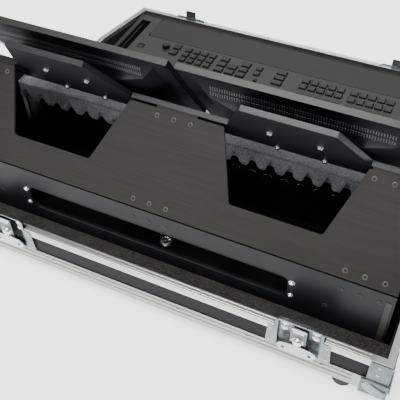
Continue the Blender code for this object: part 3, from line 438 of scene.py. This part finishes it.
# ------------------------------------------------------------- latch details
for tag, lu, rear, zc, rim in (("rear_right", -357.0, True, 75.0, 116.0), ("rear_left", 357.0, True, 75.0, 116.0),
                               ("front_right", -370.0, False, 59.5, 68.0), ("front_left", 308.0, False, 59.5, 68.0)):
    fr = case_frame if rear else front_frame
    # polished dome on the drum's plate, above the wing
    bm = bmesh.new()
    if rear:
        lathe(bm, fr, lu, zc + 14.5, [(0.0, 13.2), (4.6, 12.8), (8.2, 11.2), (10.2, 8.4), (10.6, 5.4), (12.4, 5.2), (12.6, 4.3)], 28)
    else:
        lathe(bm, fr, lu, zc + 8.5, [(0.0, 8.6), (2.6, 8.4), (4.8, 7.4), (6.0, 5.8), (6.2, 4.3)], 22)
    new_piece("latch_dome_" + tag, bm, ["bright"], "latch_drum_" + tag)
    bm = bmesh.new()
    # rolled rings round the finger holes
    for a in (-28.0, 28.0):
        lathe(bm, fr, lu + a, zc - 16.5, [(4.4, 6.4), (4.4, 9.0), (5.2, 9.6), (6.4, 9.4), (7.0, 8.5)], 20, 0)
    new_piece("latch_wing_rings_" + tag, bm, ["bright"], "latch_wing_" + tag)
    bm = bmesh.new()
    hook_top = rim + (17.0 if rear else 22.0)
    block(bm, fr, lu - 15.5, lu + 15.5, hook_top - 6.0, hook_top - 0.5, 4.45, 6.2, 0.6)
    block(bm, fr, lu - 11.0, lu + 11.0, hook_top - 15.0, hook_top - 9.0, 4.45, 5.4, 0.4)
    # the front latches' hook ribs take the near black: painted shade
    new_piece("latch_hook_rib_" + tag, bm, ["bright" if rear else "dark"], "latch_drum_" + tag)
    if rear:
        # heads of the four rivets in the dish
        bm = bmesh.new()
        for a in (-33.0, 33.0):
            for b in (rim - 10.0, rim + 8.0):
                lathe(bm, fr, lu + a, b, [(0.0, -2.6), (3.4, -2.9), (5.6, -4.4), (6.0, -5.6), (7.8, -5.9), (8.0, -7.4)], 18)
        new_piece("latch_dish_rivets_" + tag, bm, ["bright"], "case")
        # dark zinc sheet behind each rear dish, standing for the depth of the tray: painted shade
        bm = bmesh.new()
        block(bm, fr, lu - 44.6, lu + 44.6, 52.4, 136.6, -7.7, -7.2, 0.2)
        new_piece("latch_tray_painted_shade_" + tag, bm, ["zinc_shaded"], "case")

# ------------------------------------------------------------------ the stand
# rear plate and cable tray in the shaded copy of the plate paint, upper plate in a darker copy: painted shade
clone("stand_rear_plate", "plate_painted_shade", 0.5, 2)
clone("stand_main_plate", "plate", 0.5, 2)
clone("stand_upper_plate", "plate_upper_painted_shade", 0.7, 2)
clone("cable_tray", "plate_painted_shade", 0.4, 1)

HEX = math.pi / 6


def socket_screw(bm, fr, a, b, r, lift, mat=0, recess=1):
    """Countersunk head with a round, flat-bottomed recess."""
    rings = lathe(bm, fr, a, b, [(r * 0.56, lift - 1.0), (r * 0.56, lift - 0.1), (r * 0.86, lift), (r, lift - 0.25), (r + 0.3, lift - 0.9)],
                  24, mat)
    # the recess floor takes the second material, the near black: painted shade
    f = bm.faces.new(rings[0])
    f.material_index = recess


bm = bmesh.new()
for g in GROUPS:
    for k in (-1, 0, 1):
        for b in (0.0, 176.0):
            socket_screw(bm, main_frame, g + k * PITCH, b, 5.2, 1.5)
new_piece("plate_screws", bm, ["plate_edge", "dark"], "case")
bm = bmesh.new()
for g in GROUPS:
    for k in (-1, 0, 1):
        socket_screw(bm, rear_frame, g + k * PITCH, 228.0, 5.0, 1.3)
for a in (-387.0, 387.0):
    socket_screw(bm, rear_frame, a, 161.0, 5.2, 1.6)
new_piece("rear_plate_screws", bm, ["plate", "dark"], "case")
bm = bmesh.new()
for sg in (-1, 1):
    lo, hi = sorted((sg * 495.0, sg * 507.0))
    block(bm, rear_frame, lo, hi, 46.0, 236.0, 0.1, 1.2, 0.5)
new_piece("rear_plate_flanges", bm, ["plate"], "case")
bm = bmesh.new()
for a0, a1, b0, b1 in ((-296.0, 296.0, 142.6, 144.6), (-296.0, 296.0, 205.4, 206.8)):
    block(bm, rear_frame, a0, a1, b0, b1, -0.2, 0.9, 0.4)
new_piece("slot_edges", bm, ["bezel"], "case")
bm = bmesh.new()
for c in (SCREEN, -SCREEN):
    for a in (-50.0, 50.0):
        for b in (0.0, 100.0):
            # washer, then a button head
            fr = lambda x, y, h: stand_frame(x, y, -h)
            lathe(bm, fr, c + a, b, [(2.2, 3.0), (2.2, 5.0), (3.6, 5.1), (5.0, 4.4), (5.6, 2.8), (5.7, 1.2), (7.2, 1.1), (7.4, 0.2)], 22)
new_piece("screen_mount_screws", bm, ["bright"], "case")
bm = bmesh.new()
for su, sz in ((-316.0, 193.0), (-316.0, 151.0), (316.0, 193.0), (316.0, 151.0)):
    lathe(bm, rear_frame, su, sz, [(0.0, 4.6), (2.6, 4.5), (4.4, 3.9), (5.2, 2.6), (5.3, 0.9), (6.6, 0.8), (6.8, 0.0)], 20)
new_piece("slot_bolts", bm, ["bright"], "case")
bm = bmesh.new()
fr = lambda a, b, c: W(a, b, c)
lathe(bm, fr, 0.0, 113.0, [(0.0, 104.6), (3.4, 104.5), (3.4, 103.4), (8.6, 103.4), (10.4, 102.6), (10.4, 97.0), (15.0, 96.8), (15.4, 96.2)], 24)
new_piece("tray_bolt", bm, ["bright"], "case")

# ---------------------------------------------------------------- the screens
for side, c in (("left", SCREEN), ("right", -SCREEN)):
    clone("screen_back_" + side, "shell", 1.0, 2)
    clone("screen_front_" + side, "glass", 0.3, 1)
    bm = bmesh.new()
    # top bar of the frame around the glass, seen as the lit upper edge from behind; the bar is the frame's real edge,
    # and its lighter bezel colour is painted light
    for s0, s1 in ((-82.8, -79.6),):
        block(bm, stand_frame, c - 243.0, c + 243.0, s0, s1, 50.4, 63.3, 0.5)
    new_piece("screen_trim_" + side, bm, ["bezel"], "case")
    # near-black skins over the screens' side faces: painted shade
    bm = bmesh.new()
    for a in (c - 243.0, c + 243.0):
        block(bm, stand_frame, a - 0.35, a + 0.35, -79.2, 205.6, 49.8, 62.95, 0.15)
    new_piece("screen_sides_painted_shade_" + side, bm, ["dark"], "case")
    # vent ribs in the lighter vent material: painted light on their lit tops
    bm = bmesh.new()
    slope = (49.0 - 30.0) / 36.0
    for row, s0 in enumerate((-50.0, -38.0)):
        count = 72
        for k in range(count):
            a = c - 176.0 + 352.0 * k / (count - 1)
            o = 49.0 - (s0 + 58.0) * slope

            def vf(x, y, h, s0=s0, o=o):
                return stand_frame(x, y, o - (y - s0) * slope - h)
            block(bm, vf, a - 1.15, a + 1.15, s0, s0 + 7.5, -0.5, 1.3, 0.3)
    new_piece("screen_vents_" + side, bm, ["vent"], "case")

# ------------------------------------------------------------------- the desk
clone("desk_chassis", "housing", 0.8, 2)
clone("desk_face_panel", "panel", 0.3, 1)
clone("desk_front_cover", "housing", 0.8, 2)
# rear housing and connector strip in the near black: painted shade
clone("desk_rear_housing", "inside", 0.8, 2)
clone("connector_strip", "inside", 0.2, 1)
clone("control_board", "board", 0.0)
clone("power_supply", "alu", 0.8, 1)
for k in ("keys_shift", "keys_numeric", "keys_command", "keys_playback"):
    clone(k, "key", 0.8, 2)
for i in range(1, 11):
    clone("fader_cap_%02d" % i, "key", 0.4, 1)
clone("level_wheel", "rubber", 1.2, 3)
clone("encoder_knob", "key", 0.6, 2)

# finger grips round the wheel and knob
bm = bmesh.new()
for k in range(28):
    t = 2 * math.pi * k / 28

    def gf(a, b, c, t=t):
        r = 12.0 + c
        return W(-440.0 + a, 793.0 + r * math.cos(t) - b * math.sin(t), 64.5 + r * math.sin(t) + b * math.cos(t))
    block(bm, gf, -8.2, 8.2, -0.7, 0.7, -0.2, 0.7, 0.2)
new_piece("level_wheel_grip", bm, ["rubber"], "level_wheel")
bm = bmesh.new()
for k in range(30):
    t = 2 * math.pi * k / 30

    def gf(a, b, c, t=t):
        r = 11.0 + c
        return W(-363.0 + r * math.cos(t) - a * math.sin(t), 813.0 + r * math.sin(t) + a * math.cos(t), 81.0 + b)
    block(bm, gf, -0.5, 0.5, -4.2, 4.4, -0.3, 0.6, 0.15)
new_piece("encoder_knob_grip", bm, ["key"], "encoder_knob")

# legend strips behind the playback keys, and scale marks beside the faders
bm = bmesh.new()
for u0 in (88.5, 231.0):
    for i in range(5):
        block(bm, lambda a, b, c: W(a, b, 75.0 + c), u0 + 26.0 * i - 10.5, u0 + 26.0 * i + 10.5, 761.0, 771.0, -0.2, 0.9, 0.3)
new_piece("legend_strips", bm, ["key"], "case")
bm = bmesh.new()
for i in range(10):
    fu = 88.5 + 26.0 * i if i < 5 else 231.0 + 26.0 * (i - 5)
    for k in range(7):
        vv = 668.0 + 64.0 * k / 6
        for sg in (-1, 1):
            block(bm, lambda a, b, c: W(a, b, 75.0 + c), fu + sg * 6.0 - 2.0, fu + sg * 6.0 + 2.0, vv - 0.4, vv + 0.4, -0.1, 0.15, 0.05)
new_piece("fader_scales", bm, ["bezel"], "case")

# near-black strips at the ends of the desk's rear face: painted shade
bm = bmesh.new()
for sg in (-1, 1):
    lo, hi = sorted((sg * 505.8, sg * 520.2))
    block(bm, lambda a, b, c: W(a, 322.0 - c, b), lo, hi, 16.0, 201.8, 0.02, 0.5, 0.2)
new_piece("desk_rear_painted_shade", bm, ["inside"], "case")
# nickel rings of the sockets with their contacts
bm = bmesh.new()
for k in range(9):
    cu = 82.3 + 39.7 * k
    fr = lambda a, b, c: W(a, 322.0 - c, b)
    lathe(bm, fr, cu, 174.5, [(9.9, 1.6), (10.2, 2.3), (11.4, 2.5), (12.1, 2.1), (12.3, 1.2)], 28, 0)
    for j in range(3):
        t = math.pi / 2 + 2 * math.pi * j / 3
        lathe(bm, fr, cu + 4.4 * math.cos(t), 174.5 + 4.4 * math.sin(t), [(0.0, 1.1), (1.1, 1.0), (1.3, 0.2), (1.3, -0.4)], 10, 0)
new_piece("socket_rings", bm, ["zinc"], "case")

# ------------------------------------------------------------ convoluted foam
P = 43.5
PAD_R, PAD_F, TOP, END = 312.0, 450.0, 252.0, 532.0
bm = bmesh.new()
COLS, DOWN, UNDER = 392, 22, 24


def lobes(u, v):
    """0 in the valleys to 1 at the peaks of the convoluted underside."""
    u0 = 105.0 if u >= 0 else -510.0
    w = 0.5 + 0.5 * math.cos(2 * math.pi * (u - u0) / P) * math.cos(2 * math.pi * (v - PAD_R) / P)
    return 1.0 - (1.0 - min(1.0, w * 1.15)) ** 1.7


def underside(u, v):
    high = 240.0 + 3.0 * min(1.0, max(-1.0, u / 300.0))
    z = high - 37.0 * lobes(u, v) + 1.2 * noise.noise(Vector((u * 0.05, v * 0.05, 3.1)))
    return max(z, 202.9)


def bulge(u, z):
    """How far the cut edge stands out towards the rear."""
    u0 = 105.0 if u >= 0 else -510.0
    out = 0.0
    for shift, zc, amount in ((0.0, 219.0, 8.0), (P / 2, 228.0, 5.0)):
        d = (u - u0 - shift + P / 2) % P - P / 2
        out += amount * math.exp(-(d / 11.0) ** 2 - ((z - zc) / 10.0) ** 2)
    ridge = 0.8 * math.sin(2 * math.pi * (z + 0.5 * u) / 7.0) * min(1.0, out / 3.0)
    return min(out + ridge, 9.5)


rings = []
for i in range(COLS + 1):
    u = -END + 2 * END * i / COLS
    ring = []
    for v in (447.0, 420.0, 390.0, 360.0, 335.0, 318.0):
        ring.append((v, TOP - 0.9 + 0.7 * noise.noise(Vector((u * 0.013, v * 0.03, 0.4)))))
    ring.append((313.4, TOP - 1.3))
    z1 = underside(u, PAD_R)
    for k in range(DOWN + 1):
        z = TOP - 2.8 - (TOP - 2.8 - z1) * k / DOWN
        grain = 0.6 * noise.noise(Vector((u * 0.16, z * 0.16, 7.7)))
        ring.append((PAD_R + 0.4 + grain * 0.6 - bulge(u, z), z))
    for k in range(1, UNDER + 1):
        v = PAD_R + (PAD_F - 2.0 - PAD_R) * k / UNDER
        ring.append((v, underside(u, v)))
    ring.append((PAD_F - 0.4, TOP - 3.5))
    rings.append([bm.verts.new(W(u, v, z)) for v, z in ring])
for r0, r1 in zip(rings[:-1], rings[1:]):
    n = len(r0)
    for k in range(n):
        j = (k + 1) % n
        bm.faces.new([r0[k], r0[j], r1[j], r1[k]])
bm.faces.new(list(reversed(rings[0])))
bm.faces.new(rings[-1])
bmesh.ops.triangulate(bm, faces=[f for f in bm.faces if len(f.verts) > 4])
ob = new_piece("convoluted_pad", bm, ["grey_foam"], "case", 60.0)
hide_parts("egg_crate_foam")

# ---------------------------------------------------------------------- stage
me = bpy.data.meshes.new("floor")
s = 9.0
me.from_pydata([(-s, -s, 0), (s, -s, 0), (s, s, 0), (-s, s, 0)], [], [(0, 1, 2, 3)])
floor = bpy.data.objects.new("floor", me)
COLL.objects.link(floor)
fm, nt, b = nodes_of("floor_pale")
n = add(nt, "ShaderNodeTexNoise")
n.inputs["Scale"].default_value = 2.0
nt.links.new(ramp(nt, n.outputs["Fac"], [(0.3, (0.93, 0.93, 0.93)), (0.7, (0.96, 0.96, 0.96))]), b.inputs["Base Color"])
b.inputs["Roughness"].default_value = 0.95
b.inputs["Emission Color"].default_value = (1.0, 1.0, 1.0, 1.0)
b.inputs["Emission Strength"].default_value = 1.5
b.inputs["Specular IOR Level"].default_value = 0.1
me.materials.append(fm)

world = bpy.data.worlds.new("studio")
bpy.context.scene.world = world
world.use_nodes = True
bg = world.node_tree.nodes["Background"]
wt = world.node_tree
wc = wt.nodes.new("ShaderNodeTexCoord")
ws = wt.nodes.new("ShaderNodeSeparateXYZ")
wt.links.new(wc.outputs["Generated"], ws.inputs["Vector"])
wt.links.new(ramp(wt, ws.outputs["Z"], [(0.05, (0.22, 0.23, 0.25)), (0.75, (1.0, 0.995, 0.98))]), bg.inputs["Color"])
bg.inputs["Strength"].default_value = 0.8


def area(name, loc, target, size, power, size_y=None):
    li = bpy.data.lights.new(name, "AREA")
    li.shape = "RECTANGLE"
    li.size, li.size_y = size, size_y or size
    li.energy = power
    o = bpy.data.objects.new(name, li)
    COLL.objects.link(o)
    o.location = loc
    o.rotation_euler = (Vector(target) - Vector(loc)).to_track_quat("-Z", "Y").to_euler()
    return o


area("key_overhead", (0.35, 1.0, 3.2), (0.0, 0.2, 0.2), 1.6, 125.0)
area("fill_rear", (1.4, 3.0, 1.7), (0.0, 0.3, 0.2), 2.0, 14.0)
area("front_strip", (0.4, -2.4, 2.4), (0.0, -0.2, 0.2), 2.4, 45.0, 0.8)

# --------------------------------------------------------------------- camera
cam = bpy.data.cameras.new("camera")
cam.sensor_width = 36.0
cam.lens = 60.3529
cam.clip_end = 60.0
co = bpy.data.objects.new("camera", cam)
COLL.objects.link(co)
co.location = (-0.51097, 1.20851, 1.30388)
co.rotation_euler = Euler((0.745216, 0.027952, -2.698931), "XYZ")
bpy.context.scene.camera = co
